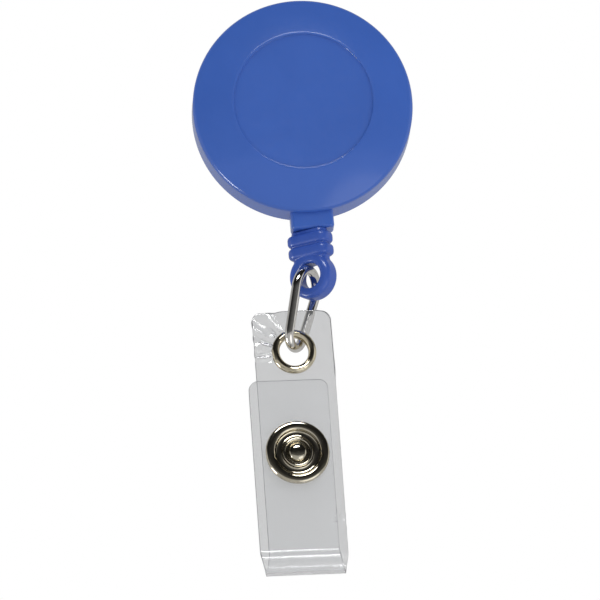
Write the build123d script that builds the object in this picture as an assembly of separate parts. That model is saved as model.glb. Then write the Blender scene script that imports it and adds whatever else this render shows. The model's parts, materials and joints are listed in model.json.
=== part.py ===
from build123d import *
import os
from math import acos, asin, atan2, cos, pi, radians, sin, sqrt

# Retractable badge reel on a belt clip, with a nylon cord, a moulded cord end,
# a wire link and a clear vinyl badge strap that closes with a snap.
#
# Frame, in millimetres: +X to the right seen from the front, -Y out of the reel's
# face, +Z up. The origin is on the reel's axis, on the face of the clip's plate
# that bears on the belt. The reel hangs with its cord outlet at the bottom.

# ---------------------------------------------------------------- driving dimensions
# Reel case. Heights are measured from the case's rear face towards its front.
CASE_RADIUS = 16.0
CASE_WALL = 1.2
DOME_WALL = 0.9
CASE_INNER_RADIUS = 14.75
CASE_REAR_ROUND = 0.5
SEAM_HEIGHT = 4.7
COVER_EDGE_ROUND = 0.9
CREST_HEIGHT = 8.0
CREST_RADIUS = 10.4
SHOULDER_HEIGHT = 5.45
LABEL_RADIUS = 10.1
LABEL_DEPTH = 0.3
LABEL_EDGE_ROUND = 0.14
SKIRT_OUTER_RADIUS = 14.7
SKIRT_INNER_RADIUS = 13.65
SKIRT_END_HEIGHT = 3.3
SNAP_BEAD_HEIGHT = 3.8
SNAP_BEAD_RADIUS = 0.2
SNAP_GROOVE_RADIUS = 0.25

# Centre post, and the boss of the cover that steadies it
POST_RADIUS = 2.4
POST_BORE_RADIUS = 1.9
POST_FLOOR_HEIGHT = 2.0
POST_TOP_HEIGHT = 6.4
POST_SLOT_WIDTH = 0.45
POST_SLOT_FLOOR = 2.6
BOSS_OUTER_RADIUS = 3.3
RUNNING_CLEARANCE = 0.05

# Cord outlet, a block under the case
OUTLET_WIDTH = 6.25
OUTLET_REAR_HEIGHT = 0.6
OUTLET_FRONT_HEIGHT = 4.6
OUTLET_BOTTOM_Z = -18.2
OUTLET_SIDE_ROUND = 0.7
OUTLET_END_ROUND = 0.45
OUTLET_BORE_RADIUS = 0.8
OUTLET_MOUTH_RADIUS = 2.3
OUTLET_MOUTH_END_Z = -16.4

# Spool and mainspring
SPOOL_REAR = 1.45
SPOOL_FRONT = 5.75
FLANGE_RADIUS = 13.1
FLANGE_THICKNESS = 0.7
DRUM_OUTER_RADIUS = 9.3
DRUM_INNER_RADIUS = 8.6
HUB_OUTER_RADIUS = 3.3
HUB_TOP_HEIGHT = 2.7
LID_SEAT_HEIGHT = 5.2
LID_SEAT_RADIUS = 8.85
LID_THICKNESS = 0.4
SPRING_STRIP = 0.18
SPRING_WIDTH = 2.3
SPRING_TURNS = 9
SPRING_INNER_RADIUS = 2.75
SPRING_OUTER_RADIUS = 8.3

# Cord
CORD_RADIUS = 0.45
CORD_X = -0.5
CORD_HEIGHT = 2.7
CORD_BEND_RADIUS = 1.4
CORD_CORNER_Z = -15.4
CORD_HAND_OVER_Z = -17.0
WINDING_RADIUS = 12.6
KNOT_RADIUS = 0.95
KNOT_Z = -20.9

# Cord end: a ribbed grip with a ring, turned a little on the cord
END_TURN = -33.0
END_TOP_Z = -18.25
END_WIDTH = 5.5
END_THICKNESS = 2.6
RIB_WIDTH = 6.7
RIB_THICKNESS = 3.5
RIB_PITCH = 1.85
RIB_HEIGHT = 1.75
RIB_ROUND = 0.62
FIRST_RIB_Z = -19.6
RIB_COUNT = 2
RING_Z = -25.1
RING_RADIUS = 3.4
RING_THICKNESS = 3.1
RING_HOLE_RADIUS = 1.85
RING_OUTER_ROUND = 0.85
RING_HOLE_ROUND = 0.5

# Wire link, a pear-shaped loop that leans and is turned out of the reel's plane
WIRE_RADIUS = 0.7
LINK_TOP_RADIUS = 3.0
LINK_BOTTOM_RADIUS = 2.1
LINK_CENTRES = 6.6
LINK_LEAN = 17.0
LINK_TURN = 30.0
LINK_TOP_X = -0.85
LINK_TOP_Z = -24.2

# Vinyl strap, placed from the centre of its eyelet
EYELET_X = -4.26
EYELET_Z = -36.1
STRAP_TURN = 5.0
STRAP_TILT = 0.8
VINYL = 0.5
STRAP_WIDTH = 11.5
STRAP_CORNER = 1.3
STRAP_TOP = 6.1
FLAP_TOP = -4.9
FOLD_LEVEL = -29.8
PLY_SPACING = 2.1
FOLD_FLARE = 35.0
FOLD_FLARE_RADIUS = 1.5
FLAP_OFFSET = -1.5

# Eyelet
EYELET_BORE_RADIUS = 2.1
EYELET_BARREL_RADIUS = 2.4
EYELET_FLANGE_RADIUS = 3.25
EYELET_FLANGE_RISE = 0.5
EYELET_ROLL_RADIUS = 2.8
EYELET_ROLL_RISE = 0.3
WASHER_RADIUS = 3.2
WASHER_THICKNESS = 0.25

# Snap fastener
SNAP_X = -0.9
SNAP_LEVEL = -15.7
CAP_RADIUS = 4.7
CAP_RISE = 0.9
SNAP_PART_RADIUS = 3.9
SNAP_POST_RADIUS = 1.0
SOCKET_THICKNESS = 1.1
SOCKET_CAVITY_RADIUS = 2.0
SOCKET_WEB = 0.15
STUD_FLANGE = 0.3
STUD_RADIUS = 1.75
STUD_WAIST_RADIUS = 1.5
STUD_HEIGHT = 1.1
SNAP_SPRING_WIRE = 0.15
SNAP_SPRING_CLEARANCE = 0.05
STUD_CAP_THICKNESS = 0.5

# Belt clip, one strip of spring steel: a riveted plate and a sprung leaf
CLIP_SHEET = 0.6
CLIP_WIDTH = 10.0
CLIP_HALF_LENGTH = 11.0
CLIP_CORNER = 2.0
CLIP_GAP = 3.0
LEAF_KNEE_Z = 7.0
LEAF_NIP_Y = 1.5
LEAF_NIP_Z = -8.0
LEAF_TIP_Y = 3.6
LEAF_TIP_Z = -12.2
LEAF_BEND_RADIUS = 2.5
RIVET_RADIUS = 1.0
RIVET_HOLE_RADIUS = 1.05
RIVET_HEAD_RADIUS = 1.75
RIVET_HEAD = 0.6
RIVET_TAIL_RISE = 0.4
RIVET_WASHER_RADIUS = 1.85
RIVET_WASHER = 0.3

# ---------------------------------------------------------------- placements
# The reel's own frame has its axis along Z, from the case's rear face forwards,
# and its Y axis up.
REEL = Pos(0, -CLIP_SHEET, 0) * Rot(90, 0, 0)
CORD_Y = -CLIP_SHEET - CORD_HEIGHT
CORD_END = Pos(CORD_X, CORD_Y, 0) * Rot(0, 0, END_TURN)
STRAP = Pos(EYELET_X, CORD_Y, EYELET_Z) * Rot(0, 0, STRAP_TURN) * Rot(0, STRAP_TILT, 0)
SNAP = STRAP * Pos(SNAP_X, 0, SNAP_LEVEL)
# Turned parts of the strap are built along Z and laid so that Z points forwards.
FORWARD = Rot(90, 0, 0)

FLAP_Y = -PLY_SPACING
REAR_FACE = -VINYL / 2
FLAP_REAR_FACE = FLAP_Y + VINYL / 2
FLAP_FRONT_FACE = FLAP_Y - VINYL / 2

# The plies flare apart under FOLD_LEVEL and meet in a round loop.
FLARE_RISE = FOLD_FLARE_RADIUS * sin(radians(FOLD_FLARE))
FLARE_REACH = PLY_SPACING / 2 + FOLD_FLARE_RADIUS * (1 - cos(radians(FOLD_FLARE)))
LOOP_RADIUS = FLARE_REACH / cos(radians(FOLD_FLARE))
LOOP_CENTRE = FOLD_LEVEL - FLARE_RISE - LOOP_RADIUS * sin(radians(FOLD_FLARE))
FOLD_LENGTH = 2 * FOLD_FLARE_RADIUS * radians(FOLD_FLARE) + LOOP_RADIUS * (pi + 2 * radians(FOLD_FLARE))


def lathe(points):
    """Solid of revolution about Z from an outline of (radius, height) points."""
    return revolve(Plane.XZ * Polygon(*points, align=None), Axis.Z)


def tube(outer, inner, low, high):
    """Ring of rectangular section about Z between two heights."""
    return lathe([(inner, low), (outer, low), (outer, high), (inner, high)])


def ring_edges(solid, radius, height):
    """The circular edges about Z of one radius at one height."""
    return [
        edge
        for edge in solid.edges().filter_by(GeomType.CIRCLE)
        if abs(edge.radius - radius) < 0.01 and abs(edge.arc_center.Z - height) < 0.01
    ]


def bead(radius, height, section):
    """Ring of round section about Z."""
    return revolve(Plane.XZ * Pos(radius, height) * Circle(section), Axis.Z)


def upright_plate(width, low, high, thickness, top_corner, bottom_corner=0.0):
    """Plate in the XZ plane, centred in Y, with rounded corners."""
    middle = (low + high) / 2
    plate = Pos(0, 0, middle) * Box(width, thickness, high - low)
    for level, radius in ((high, top_corner), (low, bottom_corner)):
        if radius:
            corners = [e for e in plate.edges().filter_by(Axis.Y) if abs(e.center().Z - level) < 0.01]
            plate = fillet(corners, radius)
    return plate


# ---------------------------------------------------------------- case
def dome_point(radius, offset=0.0):
    """Point of the cover's domed ring, or of a surface inside it, at one radius."""
    spread = CASE_RADIUS**2 - CREST_RADIUS**2
    drop = CREST_HEIGHT - SHOULDER_HEIGHT
    centre = (CREST_HEIGHT + SHOULDER_HEIGHT - spread / drop) / 2
    arc = sqrt(CREST_RADIUS**2 + (CREST_HEIGHT - centre) ** 2)
    return (radius, centre + sqrt((arc - offset) ** 2 - radius**2))


def make_front_cover():
    label = CREST_HEIGHT - LABEL_DEPTH
    ceiling = label - CASE_WALL
    middle = (CREST_RADIUS + CASE_RADIUS) / 2
    skirt_middle = (CREST_RADIUS + SKIRT_INNER_RADIUS) / 2
    with BuildSketch(Plane.XZ) as section:
        with BuildLine():
            Polyline((0, ceiling), (0, label), (LABEL_RADIUS, label), (LABEL_RADIUS, CREST_HEIGHT))
            Line((LABEL_RADIUS, CREST_HEIGHT), (CREST_RADIUS, CREST_HEIGHT))
            ThreePointArc(dome_point(CREST_RADIUS), dome_point(middle), dome_point(CASE_RADIUS))
            Polyline(
                dome_point(CASE_RADIUS),
                (CASE_RADIUS, SEAM_HEIGHT),
                (SKIRT_OUTER_RADIUS, SEAM_HEIGHT),
                (SKIRT_OUTER_RADIUS, SKIRT_END_HEIGHT),
                (SKIRT_INNER_RADIUS, SKIRT_END_HEIGHT),
                dome_point(SKIRT_INNER_RADIUS, DOME_WALL),
            )
            ThreePointArc(
                dome_point(SKIRT_INNER_RADIUS, DOME_WALL),
                dome_point(skirt_middle, DOME_WALL),
                dome_point(CREST_RADIUS, DOME_WALL),
            )
            Polyline(
                dome_point(CREST_RADIUS, DOME_WALL),
                (LABEL_RADIUS - CASE_WALL, ceiling),
                (0, ceiling),
            )
        make_face()
    cover = revolve(section.sketch, Axis.Z)
    cover += bead(SKIRT_OUTER_RADIUS, SNAP_BEAD_HEIGHT, SNAP_BEAD_RADIUS)
    boss_inner = POST_RADIUS + RUNNING_CLEARANCE
    cover += tube(BOSS_OUTER_RADIUS, boss_inner, SPOOL_FRONT + 2 * RUNNING_CLEARANCE, ceiling + 0.1)
    cover = fillet(ring_edges(cover, CASE_RADIUS, SHOULDER_HEIGHT), COVER_EDGE_ROUND)
    cover = fillet(ring_edges(cover, LABEL_RADIUS, CREST_HEIGHT), LABEL_EDGE_ROUND)
    cover = fillet(ring_edges(cover, LABEL_RADIUS, label), LABEL_EDGE_ROUND)
    return REEL * cover


def make_outlet_block():
    depth = OUTLET_FRONT_HEIGHT - OUTLET_REAR_HEIGHT
    middle = (OUTLET_FRONT_HEIGHT + OUTLET_REAR_HEIGHT) / 2
    outline = Plane((0, -CASE_INNER_RADIUS + 1, middle), x_dir=(1, 0, 0), z_dir=(0, -1, 0))
    length = -OUTLET_BOTTOM_Z - CASE_INNER_RADIUS + 1
    block = extrude(outline * RectangleRounded(OUTLET_WIDTH, depth, OUTLET_SIDE_ROUND), length)
    return fillet(block.faces().sort_by(Axis.Y)[0].edges(), OUTLET_END_ROUND)


def make_outlet_bore():
    centre = Pos(CORD_X, 0, CORD_HEIGHT) * Rot(90, 0, 0)
    mouth_top = CASE_INNER_RADIUS - 0.6
    mouth = -OUTLET_MOUTH_END_Z - mouth_top
    bore = Pos(0, 0, CASE_INNER_RADIUS) * Cylinder(OUTLET_BORE_RADIUS, 8)
    bore += Pos(0, 0, mouth_top + mouth / 2) * Cone(OUTLET_MOUTH_RADIUS, OUTLET_BORE_RADIUS, mouth)
    return centre * bore


def make_rear_case():
    case = lathe([(0, 0), (CASE_RADIUS, 0), (CASE_RADIUS, SEAM_HEIGHT), (0, SEAM_HEIGHT)])
    case = fillet(ring_edges(case, CASE_RADIUS, 0), CASE_REAR_ROUND)
    case += make_outlet_block()
    case -= tube(CASE_INNER_RADIUS, POST_RADIUS, CASE_WALL, SEAM_HEIGHT)
    case += tube(POST_RADIUS, 0, SEAM_HEIGHT, POST_TOP_HEIGHT)
    case -= bead(SKIRT_OUTER_RADIUS, SNAP_BEAD_HEIGHT, SNAP_GROOVE_RADIUS)
    case -= tube(POST_BORE_RADIUS, 0, POST_FLOOR_HEIGHT, POST_TOP_HEIGHT)
    case -= tube(RIVET_HOLE_RADIUS, 0, 0, POST_FLOOR_HEIGHT)
    slot_height = POST_TOP_HEIGHT - POST_SLOT_FLOOR
    slot = Box(POST_RADIUS, POST_SLOT_WIDTH, slot_height, align=(Align.MIN, Align.CENTER, Align.MIN))
    case -= Pos(POST_BORE_RADIUS - 0.3, 0, POST_SLOT_FLOOR) * slot
    case -= make_outlet_bore()
    return REEL * case


# ---------------------------------------------------------------- spool, spring, cord
def make_spool():
    hub = POST_RADIUS + RUNNING_CLEARANCE
    rear_flange_top = SPOOL_REAR + FLANGE_THICKNESS
    front_flange_bottom = SPOOL_FRONT - FLANGE_THICKNESS
    spool = lathe(
        [
            (hub, SPOOL_REAR),
            (FLANGE_RADIUS, SPOOL_REAR),
            (FLANGE_RADIUS, rear_flange_top),
            (DRUM_OUTER_RADIUS, rear_flange_top),
            (DRUM_OUTER_RADIUS, front_flange_bottom),
            (FLANGE_RADIUS, front_flange_bottom),
            (FLANGE_RADIUS, SPOOL_FRONT),
            (LID_SEAT_RADIUS, SPOOL_FRONT),
            (LID_SEAT_RADIUS, LID_SEAT_HEIGHT),
            (DRUM_INNER_RADIUS, LID_SEAT_HEIGHT),
            (DRUM_INNER_RADIUS, rear_flange_top),
            (HUB_OUTER_RADIUS, rear_flange_top),
            (HUB_OUTER_RADIUS, HUB_TOP_HEIGHT),
            (hub, HUB_TOP_HEIGHT),
        ]
    )
    return REEL * spool


def make_spool_lid():
    inner = POST_RADIUS + 3 * RUNNING_CLEARANCE
    return REEL * tube(LID_SEAT_RADIUS, inner, LID_SEAT_HEIGHT, LID_SEAT_HEIGHT + LID_THICKNESS)


def spring_point(turn, offset):
    """Point of the mainspring: open turns near the post, close turns near the drum."""
    reach = SPRING_OUTER_RADIUS - SPRING_INNER_RADIUS
    radius = SPRING_INNER_RADIUS + reach * sqrt(turn / SPRING_TURNS) + offset
    return (radius * cos(2 * pi * turn), radius * sin(2 * pi * turn))


def make_mainspring():
    steps = 14 * SPRING_TURNS
    turns = [SPRING_TURNS * (i / steps) ** 1.5 for i in range(steps + 1)]
    inside = [spring_point(turn, 0) for turn in turns]
    outside = [spring_point(turn, SPRING_STRIP) for turn in turns]
    with BuildSketch() as strip:
        with BuildLine():
            Spline(*inside)
            Spline(*outside)
            Line(inside[0], outside[0])
            Line(inside[-1], outside[-1])
        make_face()
    base = HUB_TOP_HEIGHT + 0.1
    spring = Pos(0, 0, base) * extrude(strip.sketch, SPRING_WIDTH)
    hook_start = POST_BORE_RADIUS + 0.1
    hook = Box(
        SPRING_INNER_RADIUS + SPRING_STRIP - hook_start,
        SPRING_STRIP,
        SPRING_WIDTH,
        align=(Align.MIN, Align.CENTER, Align.MIN),
    )
    return REEL * (spring + Pos(hook_start, 0, base) * hook)


def make_wound_cord():
    low = SPOOL_REAR + FLANGE_THICKNESS + RUNNING_CLEARANCE
    high = SPOOL_FRONT - FLANGE_THICKNESS - RUNNING_CLEARANCE
    rows = 3
    turn_radius = (high - low) / rows / 2
    crest = WINDING_RADIUS - turn_radius
    pack = tube(crest, DRUM_OUTER_RADIUS, low, high)
    for row in range(rows):
        pack += bead(crest, low + (2 * row + 1) * turn_radius, turn_radius)
    return REEL * pack


def make_inner_run():
    """Cord inside the case, from the winding round the outlet's mouth and down."""
    reach = WINDING_RADIUS + CORD_RADIUS + RUNNING_CLEARANCE
    distance = sqrt(CORD_X**2 + CORD_CORNER_Z**2)
    bearing = atan2(CORD_CORNER_Z, CORD_X) + acos(reach / distance)
    start = (reach * cos(bearing), CORD_Y, reach * sin(bearing))
    corner = (CORD_X, CORD_Y, CORD_CORNER_Z)
    end = (CORD_X, CORD_Y, CORD_HAND_OVER_Z)
    path = FilletPolyline(start, corner, end, radius=CORD_BEND_RADIUS)
    section = Plane(path @ 0, z_dir=path % 0) * Circle(CORD_RADIUS)
    return sweep(section, path)


def make_knot():
    return Pos(CORD_X, CORD_Y, KNOT_Z) * Sphere(KNOT_RADIUS)


def make_outer_run():
    length = CORD_HAND_OVER_Z - KNOT_Z
    cord = Pos(CORD_X, CORD_Y, KNOT_Z + length / 2) * Cylinder(CORD_RADIUS, length)
    return cord - make_knot()


# ---------------------------------------------------------------- cord end and link
def make_cord_end():
    grip_bottom = RING_Z + RING_RADIUS - 1.2
    outline = RectangleRounded(END_WIDTH, END_THICKNESS, END_THICKNESS / 2 - 0.2)
    grip = Pos(0, 0, grip_bottom) * extrude(outline, END_TOP_Z - grip_bottom)
    for number in range(RIB_COUNT):
        rib = extrude(RectangleRounded(RIB_WIDTH, RIB_THICKNESS, 1.3), RIB_HEIGHT)
        ends = rib.faces().filter_by(Axis.Z)
        rib = fillet([edge for face in ends for edge in face.edges()], RIB_ROUND)
        grip += Pos(0, 0, FIRST_RIB_Z - number * RIB_PITCH - RIB_HEIGHT / 2) * rib
    ring = Cylinder(RING_RADIUS, RING_THICKNESS)
    ring = fillet(ring.edges().filter_by(GeomType.CIRCLE), RING_OUTER_ROUND)
    grip += Pos(0, 0, RING_Z) * FORWARD * ring
    grip -= Pos(0, 0, RING_Z) * FORWARD * Cylinder(RING_HOLE_RADIUS, 2 * RING_THICKNESS)
    mouth = [
        edge
        for edge in grip.edges().filter_by(GeomType.CIRCLE)
        if abs(edge.radius - RING_HOLE_RADIUS) < 0.01
    ]
    grip = fillet(mouth, RING_HOLE_ROUND)
    bore_length = END_TOP_Z - KNOT_Z
    bore = Pos(0, 0, KNOT_Z + bore_length / 2) * Cylinder(CORD_RADIUS + 0.1, bore_length)
    pocket_radius = KNOT_RADIUS + 0.15
    pocket = Pos(0, 0, KNOT_Z) * Sphere(pocket_radius)
    window = Box(
        2 * pocket_radius,
        RIB_THICKNESS,
        2 * pocket_radius,
        align=(Align.CENTER, Align.MIN, Align.CENTER),
    )
    return CORD_END * (grip - bore - pocket - Pos(0, 0, KNOT_Z) * window)


def link_plane():
    """Plane of the wire loop: X across the loop, Y up it, origin at the upper bend."""
    lean = radians(LINK_LEAN)
    turn = radians(LINK_TURN)
    up = Vector(sin(lean), 0, cos(lean))
    across = Vector(sin(turn), cos(turn), 0)
    across = (across - up * across.dot(up)).normalized()
    apex = Vector(LINK_TOP_X, CORD_Y, LINK_TOP_Z)
    return Plane(apex - up * LINK_TOP_RADIUS, x_dir=across, z_dir=across.cross(up))


def make_wire_link():
    slope = asin((LINK_TOP_RADIUS - LINK_BOTTOM_RADIUS) / LINK_CENTRES)
    top, low = LINK_TOP_RADIUS, LINK_BOTTOM_RADIUS
    top_side = (top * cos(slope), -top * sin(slope))
    low_side = (low * cos(slope), -LINK_CENTRES - low * sin(slope))
    with BuildLine() as loop:
        ThreePointArc((-top_side[0], top_side[1]), (0, top), top_side)
        Line(top_side, low_side)
        ThreePointArc(low_side, (0, -LINK_CENTRES - low), (-low_side[0], low_side[1]))
        Line((-low_side[0], low_side[1]), (-top_side[0], top_side[1]))
    path = loop.wires()[0]
    section = Plane(path @ 0, z_dir=path % 0) * Circle(WIRE_RADIUS)
    return link_plane().location * sweep(section, path)


# ---------------------------------------------------------------- strap
def make_strap_rear_ply():
    ply = upright_plate(STRAP_WIDTH, FOLD_LEVEL, STRAP_TOP, VINYL, STRAP_CORNER)
    ply -= FORWARD * Cylinder(EYELET_BARREL_RADIUS, 2 * VINYL)
    ply -= Pos(SNAP_X, 0, SNAP_LEVEL) * FORWARD * Cylinder(SNAP_POST_RADIUS, 2 * VINYL)
    return STRAP * ply


def make_strap_fold():
    middle = -PLY_SPACING / 2
    half_flare = radians(FOLD_FLARE) / 2
    bend = (FOLD_FLARE_RADIUS * (1 - cos(half_flare)), FOLD_LEVEL - FOLD_FLARE_RADIUS * sin(half_flare))
    flare_end = FOLD_LEVEL - FLARE_RISE
    with BuildLine(Plane.YZ) as loop:
        ThreePointArc((0, FOLD_LEVEL), bend, (middle + FLARE_REACH, flare_end))
        ThreePointArc(
            (middle + FLARE_REACH, flare_end),
            (middle, LOOP_CENTRE - LOOP_RADIUS),
            (middle - FLARE_REACH, flare_end),
        )
        ThreePointArc(
            (middle - FLARE_REACH, flare_end),
            (FLAP_Y - bend[0], bend[1]),
            (FLAP_Y, FOLD_LEVEL),
        )
    path = loop.wires()[0]
    section = Plane(path @ 0, x_dir=(1, 0, 0), z_dir=path % 0) * Rectangle(STRAP_WIDTH, VINYL)
    return STRAP * Pos(FLAP_OFFSET / 2, 0, 0) * sweep(section, path)


def make_strap_front_flap():
    flap = upright_plate(STRAP_WIDTH, FOLD_LEVEL, FLAP_TOP, VINYL, STRAP_CORNER)
    flap = Pos(FLAP_OFFSET, FLAP_Y, 0) * flap
    flap -= Pos(SNAP_X, FLAP_Y, SNAP_LEVEL) * FORWARD * Cylinder(SNAP_POST_RADIUS, 2 * VINYL)
    return STRAP * flap


def make_eyelet():
    front = -REAR_FACE
    back = REAR_FACE - WASHER_THICKNESS
    flange_middle = (EYELET_BORE_RADIUS + EYELET_FLANGE_RADIUS) / 2
    roll_middle = (EYELET_BORE_RADIUS + EYELET_ROLL_RADIUS) / 2
    with BuildSketch(Plane.XZ) as section:
        with BuildLine():
            ThreePointArc(
                (EYELET_BORE_RADIUS, front),
                (flange_middle, front + EYELET_FLANGE_RISE),
                (EYELET_FLANGE_RADIUS, front),
            )
            Polyline(
                (EYELET_FLANGE_RADIUS, front),
                (EYELET_BARREL_RADIUS, front),
                (EYELET_BARREL_RADIUS, back),
                (EYELET_ROLL_RADIUS, back),
            )
            ThreePointArc(
                (EYELET_ROLL_RADIUS, back),
                (roll_middle, back - EYELET_ROLL_RISE),
                (EYELET_BORE_RADIUS, back),
            )
            Line((EYELET_BORE_RADIUS, back), (EYELET_BORE_RADIUS, front))
        make_face()
    return STRAP * FORWARD * revolve(section.sketch, Axis.Z)


def make_eyelet_washer():
    rear = -REAR_FACE
    washer = tube(WASHER_RADIUS, EYELET_BARREL_RADIUS, -rear - WASHER_THICKNESS, -rear)
    return STRAP * FORWARD * washer


# ---------------------------------------------------------------- snap fastener
# Heights along the snap's axis are measured forwards from the middle of the rear ply.
def make_snap_cap():
    seat = -FLAP_FRONT_FACE
    rise = CAP_RISE
    profile = [
        (0, seat - VINYL - SOCKET_WEB),
        (SNAP_POST_RADIUS, seat - VINYL - SOCKET_WEB),
        (SNAP_POST_RADIUS, seat),
        (CAP_RADIUS - 0.3, seat),
        (CAP_RADIUS, seat + 0.35 * rise),
        (CAP_RADIUS - 0.15, seat + 0.8 * rise),
        (CAP_RADIUS - 0.6, seat + rise),
        (CAP_RADIUS - 1.1, seat + 0.75 * rise),
        (CAP_RADIUS - 1.35, seat + 0.4 * rise),
        (3.05, seat + 0.4 * rise),
        (2.9, seat + 0.8 * rise),
        (2.65, seat + 0.8 * rise),
        (2.5, seat + 0.45 * rise),
        (2.3, seat + 0.8 * rise),
        (2.05, seat + 0.8 * rise),
        (1.85, seat + 0.35 * rise),
        (1.55, seat + 0.35 * rise),
        (1.4, seat + 0.9 * rise),
        (0.9, seat + 1.25 * rise),
        (0, seat + 1.4 * rise),
    ]
    return SNAP * FORWARD * lathe(profile)


def snap_spring_height():
    """Height of the socket's spring, level with the widest part of the stud."""
    return -REAR_FACE + STUD_FLANGE + 0.6 * STUD_HEIGHT


def make_snap_socket():
    front = -FLAP_REAR_FACE
    back = front - SOCKET_THICKNESS
    web = front - SOCKET_WEB
    socket = lathe(
        [
            (SNAP_POST_RADIUS, web),
            (SOCKET_CAVITY_RADIUS, web),
            (SOCKET_CAVITY_RADIUS, back),
            (SOCKET_CAVITY_RADIUS + 0.8, back),
            (SNAP_PART_RADIUS, back + 0.5),
            (SNAP_PART_RADIUS, front),
            (SNAP_POST_RADIUS, front),
        ]
    )
    groove_radius = STUD_RADIUS + SNAP_SPRING_CLEARANCE + SNAP_SPRING_WIRE
    socket -= bead(groove_radius, snap_spring_height(), SNAP_SPRING_WIRE + 0.05)
    return SNAP * FORWARD * socket


def make_snap_spring():
    radius = STUD_RADIUS + SNAP_SPRING_CLEARANCE + SNAP_SPRING_WIRE
    ring = bead(radius, snap_spring_height(), SNAP_SPRING_WIRE)
    gap = Pos(-radius, 0, snap_spring_height()) * Box(1, 0.8, 1)
    return SNAP * FORWARD * (ring - gap)


def make_snap_stud():
    base = -REAR_FACE
    flange = base + STUD_FLANGE
    top = flange + STUD_HEIGHT
    stud = lathe(
        [
            (SNAP_POST_RADIUS, base),
            (SNAP_PART_RADIUS, base),
            (SNAP_PART_RADIUS - 0.2, flange),
            (STUD_WAIST_RADIUS, flange),
            (STUD_WAIST_RADIUS, flange + 0.25 * STUD_HEIGHT),
            (STUD_RADIUS, flange + 0.6 * STUD_HEIGHT),
            (STUD_WAIST_RADIUS, top),
            (0, top),
            (0, top - 0.35),
            (SNAP_POST_RADIUS, top - 0.35),
        ]
    )
    return SNAP * FORWARD * stud


def make_stud_cap():
    seat = REAR_FACE
    stud_bore = -REAR_FACE + STUD_FLANGE + STUD_HEIGHT - 0.35
    cap = lathe(
        [
            (0, stud_bore),
            (SNAP_POST_RADIUS, stud_bore),
            (SNAP_POST_RADIUS, seat),
            (SNAP_PART_RADIUS, seat),
            (SNAP_PART_RADIUS - 0.15, seat - 0.7 * STUD_CAP_THICKNESS),
            (SNAP_PART_RADIUS - 0.6, seat - STUD_CAP_THICKNESS),
            (0, seat - 0.8 * STUD_CAP_THICKNESS),
        ]
    )
    return SNAP * FORWARD * cap


# ---------------------------------------------------------------- belt clip
def make_clip_plate():
    plate = upright_plate(CLIP_WIDTH, -CLIP_HALF_LENGTH, CLIP_HALF_LENGTH, CLIP_SHEET, 0, CLIP_CORNER)
    plate -= FORWARD * Cylinder(RIVET_HOLE_RADIUS, 2 * CLIP_SHEET)
    return Pos(0, -CLIP_SHEET / 2, 0) * plate


def make_clip_leaf():
    middle = -CLIP_SHEET / 2
    bend = (CLIP_GAP + CLIP_SHEET) / 2
    far = middle + 2 * bend
    with BuildLine(Plane.YZ) as side_view:
        ThreePointArc(
            (middle, CLIP_HALF_LENGTH),
            (middle + bend, CLIP_HALF_LENGTH + bend),
            (far, CLIP_HALF_LENGTH),
        )
        FilletPolyline(
            (far, CLIP_HALF_LENGTH),
            (far, LEAF_KNEE_Z),
            (LEAF_NIP_Y, LEAF_NIP_Z),
            (LEAF_TIP_Y, LEAF_TIP_Z),
            radius=LEAF_BEND_RADIUS,
        )
    path = side_view.wires()[0]
    start = Plane((0, middle, CLIP_HALF_LENGTH), x_dir=(1, 0, 0), z_dir=(0, 0, 1))
    leaf = sweep(start * Rectangle(CLIP_WIDTH, CLIP_SHEET), path)
    length = CLIP_HALF_LENGTH + CLIP_GAP - LEAF_TIP_Z + 1
    outline = upright_plate(CLIP_WIDTH, LEAF_TIP_Z, LEAF_TIP_Z + length, 20, 0, 2 * CLIP_CORNER)
    return leaf & outline


def make_rivet():
    head_base = POST_FLOOR_HEIGHT + RIVET_WASHER
    tail = -CLIP_SHEET
    rivet = lathe(
        [
            (0, tail - RIVET_TAIL_RISE),
            (0.6 * RIVET_HEAD_RADIUS, tail - RIVET_TAIL_RISE),
            (RIVET_HEAD_RADIUS, tail),
            (RIVET_RADIUS, tail),
            (RIVET_RADIUS, head_base),
            (RIVET_HEAD_RADIUS, head_base),
            (RIVET_HEAD_RADIUS, head_base + 0.5 * RIVET_HEAD),
            (0.5 * RIVET_HEAD_RADIUS, head_base + RIVET_HEAD),
            (0, head_base + RIVET_HEAD),
        ]
    )
    return REEL * rivet


def make_rivet_washer():
    top = POST_FLOOR_HEIGHT + RIVET_WASHER
    return REEL * tube(RIVET_WASHER_RADIUS, RIVET_RADIUS, POST_FLOOR_HEIGHT, top)


NODES = {
    "front_cover": make_front_cover,
    "rear_case": make_rear_case,
    "spool": make_spool,
    "spool_lid": make_spool_lid,
    "mainspring": make_mainspring,
    "wound_cord": make_wound_cord,
    "cord_inner_run": make_inner_run,
    "cord_outer_run": make_outer_run,
    "cord_knot": make_knot,
    "cord_end_fitting": make_cord_end,
    "wire_link": make_wire_link,
    "strap_rear_ply": make_strap_rear_ply,
    "strap_fold": make_strap_fold,
    "strap_front_flap": make_strap_front_flap,
    "eyelet": make_eyelet,
    "eyelet_washer": make_eyelet_washer,
    "snap_cap": make_snap_cap,
    "snap_socket": make_snap_socket,
    "snap_spring": make_snap_spring,
    "snap_stud": make_snap_stud,
    "snap_stud_cap": make_stud_cap,
    "belt_clip_plate": make_clip_plate,
    "belt_clip_leaf": make_clip_leaf,
    "clip_rivet": make_rivet,
    "rivet_washer": make_rivet_washer,
}

os.makedirs("parts", exist_ok=True)
PARTS = {name: make() for name, make in NODES.items()}
for name, solid in PARTS.items():
    export_step(solid, f"parts/{name}.step")
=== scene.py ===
import json
from math import atan2, cos, exp, hypot, pi, radians, sin, sqrt, tan, tau

import bmesh
import bpy
from mathutils import Matrix, Vector
from mathutils.geometry import delaunay_2d_cdt


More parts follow.
